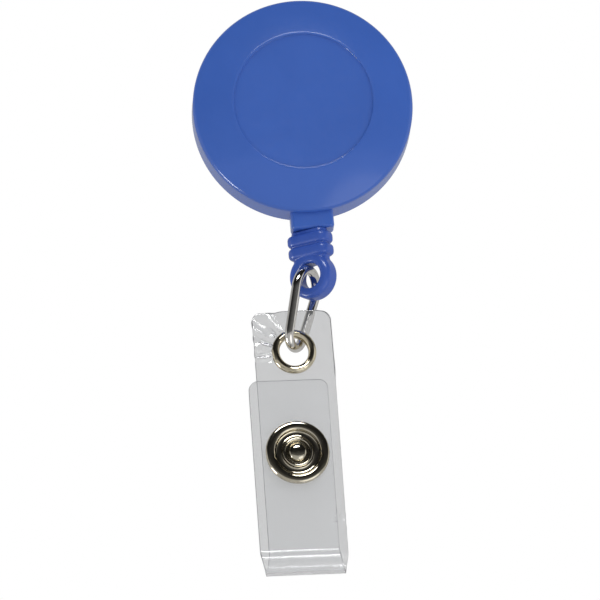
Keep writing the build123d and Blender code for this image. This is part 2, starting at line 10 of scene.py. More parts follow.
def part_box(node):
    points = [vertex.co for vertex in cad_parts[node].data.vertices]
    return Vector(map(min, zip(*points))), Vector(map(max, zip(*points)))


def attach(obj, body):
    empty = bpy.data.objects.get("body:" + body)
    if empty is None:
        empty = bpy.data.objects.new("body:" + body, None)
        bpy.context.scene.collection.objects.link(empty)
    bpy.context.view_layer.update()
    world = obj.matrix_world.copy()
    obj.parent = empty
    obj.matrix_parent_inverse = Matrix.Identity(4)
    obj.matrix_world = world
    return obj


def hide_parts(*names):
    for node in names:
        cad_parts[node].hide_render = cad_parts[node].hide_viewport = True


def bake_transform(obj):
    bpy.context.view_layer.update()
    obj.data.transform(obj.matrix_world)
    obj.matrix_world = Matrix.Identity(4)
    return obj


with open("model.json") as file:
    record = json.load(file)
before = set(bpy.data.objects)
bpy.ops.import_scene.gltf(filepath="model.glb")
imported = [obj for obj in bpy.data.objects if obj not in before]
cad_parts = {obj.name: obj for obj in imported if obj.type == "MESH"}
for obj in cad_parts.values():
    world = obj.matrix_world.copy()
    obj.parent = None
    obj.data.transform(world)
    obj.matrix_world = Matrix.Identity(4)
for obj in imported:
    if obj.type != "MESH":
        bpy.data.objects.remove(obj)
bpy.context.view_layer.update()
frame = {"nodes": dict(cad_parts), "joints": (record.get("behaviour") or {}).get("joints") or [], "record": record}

# Retractable badge reel. Shapes are written in millimetres and placed in the packed
# frame, which is in metres: +Z up, -Y out of the reel's face, +X to the right.
MM = 0.001

# ---------------------------------------------------------------- sizes
CASE_RADIUS = 16.0
CASE_WALL = 1.2
DOME_WALL = 0.9
CREST_RADIUS = 10.4
CREST_HEIGHT = 8.0
CREST_ROUND = 0.35
SHOULDER_HEIGHT = 5.45
COVER_EDGE = 0.9
SEAM_HEIGHT = 4.7
SEAM_ROUND = 0.06
LABEL_RADIUS = 10.1
LABEL_DEPTH = 0.3
LABEL_ROUND = 0.12
SKIRT_OUTER = 14.7
SKIRT_INNER = 13.65
SKIRT_END = 3.3
BOSS_OUTER = 3.3
BOSS_INNER = 2.45
BOSS_END = 5.85
DOME_STEPS = 24

# The cord: how far inside its box it starts, and where and how far it bends at the outlet.
CORD_RADIUS = 0.45
CORD_START_X = 0.3
CORD_START_Z = 0.4
CORD_CORNER_Z = 1.6
CORD_BEND = 0.9
CORD_BEND_STEPS = 12
CORD_INSIDE_STEPS = 9
CORD_OUTSIDE_STEPS = 72

# The winding: a turn lies in one row until ROW_CHANGE of it, then moves to the next row.
WINDING_INNER = 9.35
WINDING_PITCH = 0.93
WINDING_LAYER = 0.78
WINDING_ROWS = 3
WINDING_TURNS = 12.6
WINDING_SQUEEZE = 0.97
ROW_CHANGE = 0.8
TURN_STEPS = 64

KNOT_RADIUS = 0.95
KNOT_STRAND = 0.34
KNOT_DEPTH = 0.8
KNOT_STEPS = 96

GRIP_VOXEL = 0.075
GRIP_RELAX = 0.5
GRIP_RELAX_ROUNDS = 20

WIRE_RADIUS = 0.7
WIRE_SIDES = 28
WIRE_STEP = 0.16
LINK_TOP_RADIUS = 3.0
LINK_BOTTOM_RADIUS = 2.1
LINK_ARC_STEPS = 48

VINYL = 0.5
STRAP_WIDTH = 11.5
STRAP_CORNER = 1.3
STRAP_TOP = 6.1
FLAP_TOP = -4.9
FOLD_FLARE = radians(35)
FOLD_FLARE_RADIUS = 1.5
EYELET_HOLE = 2.4
SNAP_HOLE = 1.0
HOLE_SIDES = 40
CORNER_STEPS = 8

# The vinyl's mesh: its step, how near its rows come to the outline and holes, its cut edge.
GRID_STEP = 0.22
RIM_GAP = 0.45
CORNER_GAP = 0.1
HOLE_GAP = 0.12
EDGE_BEVEL = 0.1

# Folds round the eyelet. A pair is where a shape starts and where it is full.
PUCKER_DEPTH = 0.24
PUCKER_RISE = (3.0, 3.7)
PUCKER_FULL_RADIUS = 4.8
PUCKER_FADE = 3.0
PUCKER_LOWER = (-0.55, 0.0)
PUCKER_UPPER = (1.4, 0.9)
PUCKER_RIDGES = ((1.0, 15, 0.3), (0.5, 26, -0.7))

CORNER_SLOPE = 0.17
CORNER_X = (-1.0, -2.8)
CORNER_Z = (0.3, 1.8)
CORNER_FOOT = 0.6

CREASE_X = 3.35
CREASE_LEAN = 0.205
CREASE_SLOPE = 0.42
CREASE_ROUND = 0.7
CREASE_Z = (-7, -2)

CRUMPLE_X = 4.6
CRUMPLE_Z = -25.2
CRUMPLE_DEPTH = 0.09
CRUMPLE_CORE = 0.5
CRUMPLE_RADIUS = 1.1
CRUMPLE_FOLDS = 7

# Slow sway of the whole strip, flat round the fasteners, and the lift of the flap's end.
SWAY_DEPTH = 0.05
SWAY_ALONG = 0.19
SWAY_PHASE = 0.4
SWAY_ACROSS = 0.35
REAR_SWAY = 0.6
FLAT_ROUND_EYELET = (2.5, 6)
FLAT_ROUND_SNAP = (4, 9)
FLAP_LIFT = 0.35
FLAP_LIFT_LENGTH = 4

EYELET_BORE = 2.1
EYELET_EDGE = 3.25
EYELET_RISE = 0.5
WASHER = 0.25
SNAP_RADIUS = 4.7


# ---------------------------------------------------------------- places from the frame
JOINTS = {joint["name"]: joint for joint in frame["joints"]}


def joint_point(name):
    return Vector(JOINTS[name]["pos_m"])


def joint_axis(name):
    return Vector(JOINTS[name]["axis"]).normalized()


def middle(node):
    low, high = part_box(node)
    return (low + high) / 2


CORD_Y = joint_point("fitting_swivel").y / MM
CORD_X = joint_point("fitting_swivel").x / MM
KNOT_Z = joint_point("fitting_swivel").z / MM

STRAP_X = joint_axis("flap_open")
STRAP_Y = joint_axis("strap_swing")
STRAP_Z = STRAP_X.cross(STRAP_Y)
EYELET = Vector((middle("eyelet").x, CORD_Y * MM, middle("eyelet").z))


def on_strap(x, y, z):
    """Row-frame point of strap coordinates: X across, Y through, Z up, from the eyelet."""
    return EYELET + (STRAP_X * x + STRAP_Y * y + STRAP_Z * z) * MM


def strap_coordinates(point):
    away = (point - EYELET) / MM
    return Vector((away.dot(STRAP_X), away.dot(STRAP_Y), away.dot(STRAP_Z)))


PIVOT = strap_coordinates(joint_point("flap_open"))
PLY_SPACING = -2 * PIVOT.y
FLAP_OFFSET = 2 * PIVOT.x
FLARE_LENGTH = FOLD_FLARE_RADIUS * FOLD_FLARE
FLARE_REACH = PLY_SPACING / 2 + FOLD_FLARE_RADIUS * (1 - cos(FOLD_FLARE))
LOOP_RADIUS = FLARE_REACH / cos(FOLD_FLARE)
FOLD_LENGTH = 2 * FLARE_LENGTH + LOOP_RADIUS * (pi + 2 * FOLD_FLARE)
FOLD_LEVEL = PIVOT.z + FOLD_LENGTH / 2
LOOP_CENTRE = FOLD_LEVEL - FOLD_FLARE_RADIUS * sin(FOLD_FLARE) - LOOP_RADIUS * sin(FOLD_FLARE)
SNAP = strap_coordinates(middle("snap_cap"))


# ---------------------------------------------------------------- mesh helpers
def smoothstep(low, high, value):
    t = min(max((value - low) / (high - low), 0.0), 1.0)
    return t * t * (3 - 2 * t)


def new_piece(name, points, faces, smooth_angle=40):
    """Object of points in metres; edges sharper than the angle are shaded as creases."""
    mesh = bpy.data.meshes.new(name)
    mesh.from_pydata([tuple(p) for p in points], [], faces)
    mesh.validate()
    bm = bmesh.new()
    bm.from_mesh(mesh)
    bmesh.ops.recalc_face_normals(bm, faces=bm.faces)
    bm.to_mesh(mesh)
    bm.free()
    piece = bpy.data.objects.new(name, mesh)
    bpy.context.scene.collection.objects.link(piece)
    smooth(piece, smooth_angle)
    return piece


def smooth(piece, angle):
    piece.data.polygons.foreach_set("use_smooth", [True] * len(piece.data.polygons))
    piece.data.set_sharp_from_angle(angle=radians(angle))


def bake_modifiers(piece):
    """Replaces a piece's mesh with the result of its modifiers."""
    depsgraph = bpy.context.evaluated_depsgraph_get()
    mesh = bpy.data.meshes.new_from_object(piece.evaluated_get(depsgraph))
    piece.modifiers.clear()
    piece.data = mesh


def rounded(points, rounds=3):
    """An open outline with each corner cut back to a small round."""
    for _ in range(rounds):
        cut = [points[0]]
        for a, b in zip(points, points[1:]):
            cut.append(tuple(0.75 * p + 0.25 * q for p, q in zip(a, b)))
            cut.append(tuple(0.25 * p + 0.75 * q for p, q in zip(a, b)))
        cut.append(points[-1])
        points = cut
    return points


def lathe(name, outline, place, turns=128, smooth_angle=40):
    """Turned piece from (radius, height) points; place maps x, y, z in mm to the frame."""
    points, rings = [], []
    for radius, height in outline:
        if radius < 1e-6:
            rings.append([len(points)] * turns)
            points.append(place(0, 0, height))
            continue
        rings.append(list(range(len(points), len(points) + turns)))
        for k in range(turns):
            angle = tau * k / turns
            points.append(place(radius * cos(angle), radius * sin(angle), height))
    faces = []
    for a, b in zip(rings, rings[1:]):
        for k in range(turns):
            j = (k + 1) % turns
            corners = [a[k], a[j], b[j], b[k]]
            faces.append(list(dict.fromkeys(corners)))
    return new_piece(name, points, faces, smooth_angle)


def tube(name, path, radius, sides, closed=False):
    """Round tube along points in mm, with flat ends where it is open."""
    path = [Vector(p) for p in path]
    count = len(path)
    tangents = []
    for i in range(count):
        before = path[i - 1] if closed or i else path[i]
        after = path[(i + 1) % count] if closed or i < count - 1 else path[i]
        tangents.append((after - before).normalized())
    rights = [tangents[0].orthogonal().normalized()]
    for i in range(1, count):
        turn = tangents[i - 1].rotation_difference(tangents[i])
        rights.append(turn @ rights[-1])
    twist = 0.0
    if closed:
        last = tangents[-1].rotation_difference(tangents[0]) @ rights[-1]
        up = tangents[0].cross(rights[0])
        twist = atan2(last.dot(up), last.dot(rights[0]))
    points, faces = [], []
    for i in range(count):
        right = rights[i]
        up = tangents[i].cross(right)
        for k in range(sides):
            angle = tau * k / sides - twist * i / count
            points.append((path[i] + (right * cos(angle) + up * sin(angle)) * radius) * MM)
    for i in range(count if closed else count - 1):
        j = (i + 1) % count
        for k in range(sides):
            m = (k + 1) % sides
            faces.append([i * sides + k, i * sides + m, j * sides + m, j * sides + k])
    if not closed:
        faces.append(list(range(sides)))
        faces.append(list(range((count - 1) * sides, count * sides)))
    return new_piece(name, points, faces, 50)


# ---------------------------------------------------------------- material helpers
class Shader:
    """A Principled material, with short calls for the nodes that feed it."""

    def __init__(self, name, **values):
        self.material = bpy.data.materials.new(name)
        self.material.use_nodes = True
        self.tree = self.material.node_tree
        self.base = self.tree.nodes["Principled BSDF"]
        for key, value in values.items():
            socket = self.base.inputs[key.replace("_", " ")]
            socket.default_value = (*value, 1.0) if isinstance(value, tuple) else value

    def node(self, kind, **settings):
        made = self.tree.nodes.new(kind)
        for key, value in settings.items():
            setattr(made, key, value)
        return made

    def link(self, source, target):
        self.tree.links.new(source, target)

    def coordinates(self, stretch=(1, 1, 1)):
        """The object's own coordinates, in millimetres, stretched per axis."""
        where = self.node("ShaderNodeTexCoord")
        mapping = self.node("ShaderNodeMapping")
        mapping.inputs["Scale"].default_value = [s / MM for s in stretch]
        self.link(where.outputs["Object"], mapping.inputs["Vector"])
        return mapping.outputs["Vector"]

    def noise(self, scale, detail=2.0, stretch=(1, 1, 1), distortion=0.0):
        made = self.node("ShaderNodeTexNoise")
        made.inputs["Scale"].default_value = scale
        made.inputs["Detail"].default_value = detail
        made.inputs["Distortion"].default_value = distortion
        self.link(self.coordinates(stretch), made.inputs["Vector"])
        return made.outputs["Fac"]

    def ramp(self, source, *stops):
        made = self.node("ShaderNodeValToRGB")
        elements = made.color_ramp.elements
        while len(elements) < len(stops):
            elements.new(0.5)
        for element, (place, colour) in zip(elements, stops):
            element.position = place
            grey = (colour, colour, colour) if isinstance(colour, (int, float)) else colour
            element.color = (*grey, 1.0)
        self.link(source, made.inputs["Fac"])
        return made.outputs["Color"]

    def math(self, operation, first, second=0.5):
        made = self.node("ShaderNodeMath", operation=operation)
        for socket, value in zip(made.inputs, (first, second)):
            if isinstance(value, (int, float)):
                socket.default_value = value
            else:
                self.link(value, socket)
        return made.outputs["Value"]

    def bump(self, height, strength, depth, under=None):
        """Bump of a height map; depth is in millimetres."""
        made = self.node("ShaderNodeBump")
        made.inputs["Strength"].default_value = strength
        made.inputs["Distance"].default_value = depth * MM
        self.link(height, made.inputs["Height"])
        if under:
            self.link(under, made.inputs["Normal"])
        return made.outputs["Normal"]

    def feed(self, socket, source):
        self.link(source, self.base.inputs[socket])


def moulded_plastic(name, dark, light, roughness, peel):
    """Glossy moulded plastic: faint flow marks in the colour, orange peel, fine scuffs."""
    shader = Shader(name, IOR=1.48)
    flow = shader.noise(0.12, 3.0, distortion=0.6)
    shader.feed("Base Color", shader.ramp(flow, (0.3, dark), (0.7, light)))
    scuffs = shader.noise(2.4, 5.0, (1, 1, 0.35))
    shader.feed("Roughness", shader.ramp(scuffs, (0.35, roughness), (0.75, roughness + 0.07)))
    peel_normal = shader.bump(shader.noise(0.55, 1.0), peel, 0.05)
    grain = shader.noise(9.0, 3.0)
    shader.feed("Normal", shader.bump(grain, 0.05, 0.01, peel_normal))
    return shader.material


def plated_metal(name, dark, light, roughness, grain=(1, 1, 1), scratch=0.06):
    """Plated metal: slightly uneven tint, hairline scratches, faint ripples."""
    shader = Shader(name, Metallic=1.0)
    tint = shader.noise(1.3, 3.0, grain)
    shader.feed("Base Color", shader.ramp(tint, (0.25, dark), (0.75, light)))
    smears = shader.noise(1.6, 4.0, grain)
    shader.feed("Roughness", shader.ramp(smears, (0.2, roughness), (0.9, roughness + 0.06)))
    ripples = shader.bump(shader.noise(0.5, 1.0), 0.05, 0.03)
    hairlines = shader.noise(14.0, 2.0, grain)
    shader.feed("Normal", shader.bump(hairlines, scratch, 0.01, ripples))
    return shader.material


def clear_vinyl():
    """Flexible clear vinyl: a grey cast, slow waves in the surface, fine haze."""
    shader = Shader(
        "vinyl",
        IOR=1.46,
        Transmission_Weight=0.9,
        Base_Color=(0.957, 0.962, 0.97),
    )
    haze = shader.noise(1.1, 4.0)
    shader.feed("Roughness", shader.ramp(haze, (0.3, 0.02), (0.8, 0.07)))
    waves = shader.bump(shader.noise(0.22, 1.5, (1, 1, 0.6)), 0.35, 0.25)
    specks = shader.noise(7.0, 2.0)
    shader.feed("Normal", shader.bump(specks, 0.04, 0.01, waves))
    return shader.material


def vinyl_edge():
    """Cut edge of the vinyl, painted a darker grey: painted shade that stands for the dark outline along the
    sheet's edges.
    """
    shader = Shader("vinyl_edge", IOR=1.46, Transmission_Weight=0.4)
    saw = shader.noise(2.0, 3.0)
    # Painted shade: the cut edge is coloured a darker grey for the sheet's dark outline, varied along the cut.
    tint = shader.ramp(saw, (0.3, (0.2, 0.205, 0.215)), (0.7, (0.34, 0.345, 0.36)))
    shader.feed("Base Color", tint)
    shader.feed("Roughness", shader.ramp(saw, (0.3, 0.12), (0.8, 0.3)))
    return shader.material


def braided_nylon():
    """Tight round braid: two sets of strands that cross, with painted shade in the gaps between them."""
    shader = Shader("cord_nylon", Roughness=0.62, Sheen_Weight=0.25)
    crossing = []
    for lean in (1, -1):
        wave = shader.node("ShaderNodeTexWave", wave_type="BANDS", bands_direction="DIAGONAL")
        wave.inputs["Scale"].default_value = 1.1
        wave.inputs["Distortion"].default_value = 0.3
        shader.link(shader.coordinates((lean, lean, 1)), wave.inputs["Vector"])
        crossing.append(wave.outputs["Fac"])
    strands = shader.math("MAXIMUM", *crossing)
    fibres = shader.noise(18.0, 3.0, (1, 1, 0.3))
    woven = shader.math("MULTIPLY", strands, shader.math("ADD", fibres, 0.5))
    # The braid's black, with painted shade where the strands leave gaps.
    dye_and_gap_shade = shader.ramp(woven, (0.2, (0.006, 0.006, 0.007)), (0.8, (0.035, 0.035, 0.04)))
    shader.feed("Base Color", dye_and_gap_shade)
    shader.feed("Normal", shader.bump(woven, 0.8, 0.08))
    return shader.material


def moulded_acetal():
    """White acetal: a little translucent, with turned feed marks and a satin skin."""
    shader = Shader("spool_plastic", IOR=1.48, Subsurface_Weight=0.15, Subsurface_Scale=0.4 * MM)
    mottle = shader.noise(0.5, 4.0)
    white = shader.ramp(mottle, (0.3, (0.74, 0.74, 0.71)), (0.7, (0.83, 0.83, 0.81)))
    shader.feed("Base Color", white)
    rings = shader.node("ShaderNodeTexWave", wave_type="RINGS", rings_direction="Y")
    rings.inputs["Scale"].default_value = 1.6
    rings.inputs["Distortion"].default_value = 0.4
    shader.link(shader.coordinates(), rings.inputs["Vector"])
    shader.feed("Roughness", shader.ramp(rings.outputs["Fac"], (0.2, 0.38), (0.8, 0.5)))
    shader.feed("Normal", shader.bump(rings.outputs["Fac"], 0.15, 0.02))
    return shader.material


CASE_DARK = (0.05, 0.137, 0.53)
CASE_LIGHT = (0.055, 0.147, 0.56)
END_DARK = (0.041, 0.104, 0.47)
END_LIGHT = (0.047, 0.115, 0.5)

VINYL_EDGE = vinyl_edge()
MATERIALS = {
    "case_plastic": moulded_plastic("case_plastic", CASE_DARK, CASE_LIGHT, 0.16, 0.12),
    "end_plastic": moulded_plastic("end_plastic", END_DARK, END_LIGHT, 0.2, 0.06),
    "spool_plastic": moulded_acetal(),
    "spring_steel": plated_metal(
        "spring_steel", (0.53, 0.53, 0.54), (0.6, 0.6, 0.61), 0.2, (6, 1, 0.06), 0.3
    ),
    "cord_nylon": braided_nylon(),
    "wire_nickel": plated_metal("wire_nickel", (0.66, 0.64, 0.6), (0.78, 0.76, 0.73), 0.06),
    "eyelet_nickel": plated_metal("eyelet_nickel", (0.66, 0.59, 0.43), (0.75, 0.69, 0.54), 0.08),
    "snap_nickel": plated_metal("snap_nickel", (0.54, 0.49, 0.38), (0.63, 0.59, 0.49), 0.06),
    "vinyl": clear_vinyl(),
}


def dress(piece, slot, *nodes, body=None):
    """Gives a new piece its material, hides the solids it stands for, and sets it on the body it rides on when one
    is given.

    A piece that comes with two materials, sheet and cut edge, keeps them.
    """
    if len(piece.data.materials) < 2:
        piece.data.materials.clear()
        piece.data.materials.append(MATERIALS[slot])
    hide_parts(*nodes)
    if body:
        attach(piece, body)
    return piece


def dress_cad_nodes():
    """The solids whose shape is right keep it and take their slot's material."""
    for subpart in frame["record"]["subparts"]:
        node = frame["nodes"][subpart["node"]]
        node.data.materials.clear()
        node.data.materials.append(MATERIALS[subpart["material_slot"]])


# ---------------------------------------------------------------- case
def dome_height(radius, inset=0.0):
    """Height of the cover's domed ring, or of a surface inside it, at one radius."""
    spread = CASE_RADIUS**2 - CREST_RADIUS**2
    drop = CREST_HEIGHT - SHOULDER_HEIGHT
    centre = (CREST_HEIGHT + SHOULDER_HEIGHT - spread / drop) / 2
    reach = hypot(CREST_RADIUS, CREST_HEIGHT - centre) - inset
    return centre + sqrt(reach * reach - radius * radius)


def filleted(points, steps=8):
    """Outline of (radius, height, round) corners with each corner turned in an arc."""
    outline = []
    for i, (x, y, round_radius) in enumerate(points):
        here = Vector((x, y))
        if not round_radius:
            outline.append((x, y))
            continue
        before = (Vector(points[i - 1][:2]) - here).normalized()
        after = (Vector(points[i + 1][:2]) - here).normalized()
        half = before.angle(after) / 2
        middle_way = (before + after).normalized()
        centre = here + middle_way * (round_radius / sin(half))
        start = here + before * (round_radius / tan(half)) - centre
        end = here + after * (round_radius / tan(half)) - centre
        for k in range(steps + 1):
            outline.append(tuple(centre + start.slerp(end, k / steps) * round_radius))
    return outline


def make_cover():
    """The front cover: recessed label face, domed ring, round edge, skirt and boss."""
    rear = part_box("rear_case")[1].y / MM
    label = CREST_HEIGHT - LABEL_DEPTH
    ceiling = label - CASE_WALL
    run = CASE_RADIUS - CREST_RADIUS
    points = [
        (0, label, 0),
        (LABEL_RADIUS, label, LABEL_ROUND),
        (LABEL_RADIUS, CREST_HEIGHT, LABEL_ROUND),
        (CREST_RADIUS, CREST_HEIGHT, CREST_ROUND),
    ]
    # The dome's points stop where the round of the outer edge starts.
    for k in range(1, DOME_STEPS - 2):
        radius = CREST_RADIUS + run * k / DOME_STEPS
        points.append((radius, dome_height(radius), 0))
    points.extend(
        [
            (CASE_RADIUS, SHOULDER_HEIGHT, COVER_EDGE),
            (CASE_RADIUS, SEAM_HEIGHT, SEAM_ROUND),
            (SKIRT_OUTER, SEAM_HEIGHT, 0),
            (SKIRT_OUTER, SKIRT_END, 0),
            (SKIRT_INNER, SKIRT_END, 0),
            (SKIRT_INNER, dome_height(SKIRT_INNER, DOME_WALL), 0),
            (CREST_RADIUS, dome_height(CREST_RADIUS, DOME_WALL), 0),
            (LABEL_RADIUS - CASE_WALL, ceiling, 0),
            (BOSS_OUTER, ceiling, 0),
            (BOSS_OUTER, BOSS_END, 0),
            (BOSS_INNER, BOSS_END, 0),
            (BOSS_INNER, ceiling, 0),
            (0, ceiling, 0),
        ]
    )

    def place(a, b, height):
        return Vector((a, rear - height, b)) * MM

    cover = lathe("cover_shell", filleted(points), place, 256, smooth_angle=35)
    dress(cover, "case_plastic", "front_cover", body="reel_case")


# ---------------------------------------------------------------- cord
def make_cord():
    """The braided cord from the winding, round the outlet's mouth and down to the knot."""
    low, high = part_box("cord_inner_run")
    start = Vector((high.x / MM - CORD_START_X, CORD_Y, high.z / MM - CORD_START_Z))
    corner = Vector((CORD_X, CORD_Y, low.z / MM + CORD_CORNER_Z))
    knot = Vector((CORD_X, CORD_Y, KNOT_Z))
    before = corner - (corner - start).normalized() * CORD_BEND
    after = corner - Vector((0, 0, CORD_BEND))
    path = []
    for i in range(CORD_INSIDE_STEPS):
        path.append(start.lerp(before, i / CORD_INSIDE_STEPS))
    for i in range(CORD_BEND_STEPS + 1):
        t = i / CORD_BEND_STEPS
        path.append(before * (1 - t) ** 2 + corner * 2 * t * (1 - t) + after * t * t)
    for i in range(1, CORD_OUTSIDE_STEPS + 1):
        path.append(after.lerp(knot, i / CORD_OUTSIDE_STEPS))
    cord = tube("cord_run", path, CORD_RADIUS, 16)
    dress(cord, "cord_nylon", "cord_inner_run", "cord_outer_run")
    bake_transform(cord)


def make_winding():
    """The rest of the cord, wound in close turns of three rows on the spool's drum."""
    centre = middle("wound_cord") / MM
    last_row = WINDING_ROWS - 1
    path = []
    for i in range(int(WINDING_TURNS * TURN_STEPS)):
        turn = i / TURN_STEPS
        whole = int(turn)
        slide = smoothstep(ROW_CHANGE, 1.0, turn - whole)
        rows = []
        for number in (whole, whole + 1):
            layer, row = divmod(number, WINDING_ROWS)
            row = row if layer % 2 == 0 else last_row - row
            rows.append((layer, row - last_row / 2))
        layer = rows[0][0] * (1 - slide) + rows[1][0] * slide
        row = rows[0][1] * (1 - slide) + rows[1][1] * slide
        radius = WINDING_INNER + CORD_RADIUS + layer * WINDING_LAYER
        angle = tau * turn
        path.append((radius * cos(angle), centre.y + row * WINDING_PITCH, radius * sin(angle)))
    winding = tube("cord_winding", path, CORD_RADIUS * WINDING_SQUEEZE, 10)
    dress(winding, "cord_nylon", "wound_cord", body="spool")


def make_knot():
    """Overhand knot that stops the cord in the cord end."""
    reach = (KNOT_RADIUS - KNOT_STRAND) / 3
    path = []
    for i in range(KNOT_STEPS):
        angle = tau * i / KNOT_STEPS
        x = reach * (sin(angle) + 2 * sin(2 * angle))
        y = reach * (cos(angle) - 2 * cos(2 * angle))
        z = -KNOT_DEPTH * reach * sin(3 * angle)
        path.append((CORD_X + x, CORD_Y + y, KNOT_Z + z))
    knot = tube("cord_stop_knot", path, KNOT_STRAND, 14, closed=True)
    dress(knot, "cord_nylon", "cord_knot", body="cord_end")


# ---------------------------------------------------------------- cord end and link
def make_cord_end():
    """The moulded cord end, with every edge run into the next in a soft radius."""
    source = frame["nodes"]["cord_end_fitting"]
    piece = bpy.data.objects.new("cord_end_grip", source.data.copy())
    bpy.context.scene.collection.objects.link(piece)
    remesh = piece.modifiers.new("even", "REMESH")
    remesh.mode = "VOXEL"
    remesh.voxel_size = GRIP_VOXEL * MM
    relax = piece.modifiers.new("relax", "SMOOTH")
    relax.factor = GRIP_RELAX
    relax.iterations = GRIP_RELAX_ROUNDS
    bake_modifiers(piece)
    smooth(piece, 60)
    dress(piece, "end_plastic", "cord_end_fitting", body="end_fitting")


def make_link():
    """Pear-shaped loop of round wire, butted and brazed at its top bend."""
    top_centre = joint_point("link_swing") / MM
    low_point = joint_point("strap_swing") / MM
    up = (top_centre - low_point).normalized()
    across = joint_axis("link_swing")
    length = (top_centre - low_point).length
    centres = length - LINK_TOP_RADIUS - LINK_BOTTOM_RADIUS
    slope = (LINK_TOP_RADIUS - LINK_BOTTOM_RADIUS) / centres
    lean = atan2(slope, sqrt(1 - slope * slope))
    upper = top_centre - up * LINK_TOP_RADIUS
    lower = low_point + up * LINK_BOTTOM_RADIUS
    path = []
    for centre, radius, start, end in (
        (upper, LINK_TOP_RADIUS, -lean, pi + lean),
        (lower, LINK_BOTTOM_RADIUS, pi + lean, tau - lean),
    ):
        for i in range(LINK_ARC_STEPS + 1):
            angle = start + (end - start) * i / LINK_ARC_STEPS
            path.append(centre + (across * cos(angle) + up * sin(angle)) * radius)
    even = []
    for a, b in zip(path, path[1:] + path[:1]):
        parts = max(1, round((b - a).length / WIRE_STEP))
        even.extend(a.lerp(b, k / parts) for k in range(parts))
    link = tube("wire_loop", even, WIRE_RADIUS, WIRE_SIDES, closed=True)
    dress(link, "wire_nickel", "wire_link", body="link")


# ---------------------------------------------------------------- vinyl strap
REAR_LENGTH = STRAP_TOP - FOLD_LEVEL
FRONT_LENGTH = FLAP_TOP - FOLD_LEVEL
STRIP_LENGTH = REAR_LENGTH + FOLD_LENGTH + FRONT_LENGTH


def pucker(x, z):
    """Folds in the vinyl that run from the eyelet towards the upper left corner."""
    radius = hypot(x, z)
    bearing = atan2(z, -x)
    reach = smoothstep(*PUCKER_RISE, radius)
    reach *= exp(-max(radius - PUCKER_FULL_RADIUS, 0) / PUCKER_FADE)
    sector = smoothstep(*PUCKER_LOWER, bearing) * smoothstep(*PUCKER_UPPER, bearing)
    ridges = 0.0
    for height, count, drift in PUCKER_RIDGES:
        ridges += height * sin(count * bearing + drift * radius)
    return PUCKER_DEPTH * reach * sector * ridges


def corner_bend(x, z):
    """The upper left corner leans back, away from the eyelet."""
    beside = smoothstep(*CORNER_X, x)
    return CORNER_SLOPE * beside * smoothstep(*CORNER_Z, z) * max(z - CORNER_FOOT, 0)


def crumple(x, z):
    """Small star of folds where the strap has been pinched at its right edge."""
    radius = hypot(x - CRUMPLE_X, z - CRUMPLE_Z)
    bearing = atan2(z - CRUMPLE_Z, x - CRUMPLE_X)
    reach = CRUMPLE_DEPTH * smoothstep(0.0, CRUMPLE_CORE, radius)
    reach *= exp(-((radius / CRUMPLE_RADIUS) ** 2))
    return reach * sin(CRUMPLE_FOLDS * bearing)


def side_crease(x, z):
    """The right edge bends back along a line that runs out at the edge lower down."""
    past = x - (CREASE_X + CREASE_LEAN * (STRAP_TOP - z))
    bend = CREASE_SLOPE * smoothstep(0, CREASE_ROUND, past) * max(past, 0)
    return bend * smoothstep(*CREASE_Z, z)


def fold_section(distance):
    """Strap y and z of the fold: the plies flare apart and meet in a round loop."""
    from_end = min(distance, FOLD_LENGTH - distance)
    if from_end < FLARE_LENGTH:
        angle = from_end / FOLD_FLARE_RADIUS
        reach = PLY_SPACING / 2 + FOLD_FLARE_RADIUS * (1 - cos(angle))
        z = FOLD_LEVEL - FOLD_FLARE_RADIUS * sin(angle)
    else:
        angle = FOLD_FLARE - (from_end - FLARE_LENGTH) / LOOP_RADIUS
        reach = LOOP_RADIUS * cos(angle)
        z = LOOP_CENTRE + LOOP_RADIUS * sin(angle)
    side = 1 if distance < FOLD_LENGTH / 2 else -1
    return side * reach - PLY_SPACING / 2, z


def strip_point(x, along):
    """Strap point of a place on the flat strip: x across, along from the rear top edge."""
    sway = SWAY_DEPTH * sin(SWAY_ALONG * along + SWAY_PHASE) * cos(SWAY_ACROSS * x)
    if along < REAR_LENGTH:
        z = STRAP_TOP - along
        y = pucker(x, z) + corner_bend(x, z) + side_crease(x, z) + crumple(x, z)
        y += REAR_SWAY * sway * smoothstep(*FLAT_ROUND_EYELET, hypot(x, z))
        return on_strap(x, y, z)
    turned = (along - REAR_LENGTH) / FOLD_LENGTH
    if turned < 1:
        y, z = fold_section(along - REAR_LENGTH)
        return on_strap(x + FLAP_OFFSET * smoothstep(0, 1, turned), y, z)
    z = FOLD_LEVEL + along - REAR_LENGTH - FOLD_LENGTH
    past_snap = smoothstep(*FLAT_ROUND_SNAP, hypot(x + FLAP_OFFSET - SNAP.x, z - SNAP.z))
    lift = -FLAP_LIFT * smoothstep(FLAP_TOP - FLAP_LIFT_LENGTH, FLAP_TOP, z) ** 2
    wave = sway * past_snap + crumple(x + FLAP_OFFSET, z)
    return on_strap(x + FLAP_OFFSET, -PLY_SPACING + lift + wave, z)


def circle_on_strip(x, along, radius):
    circle = []
    for k in range(HOLE_SIDES):
        angle = tau * k / HOLE_SIDES
        circle.append(Vector((x + radius * cos(angle), along + radius * sin(angle))))
    return circle


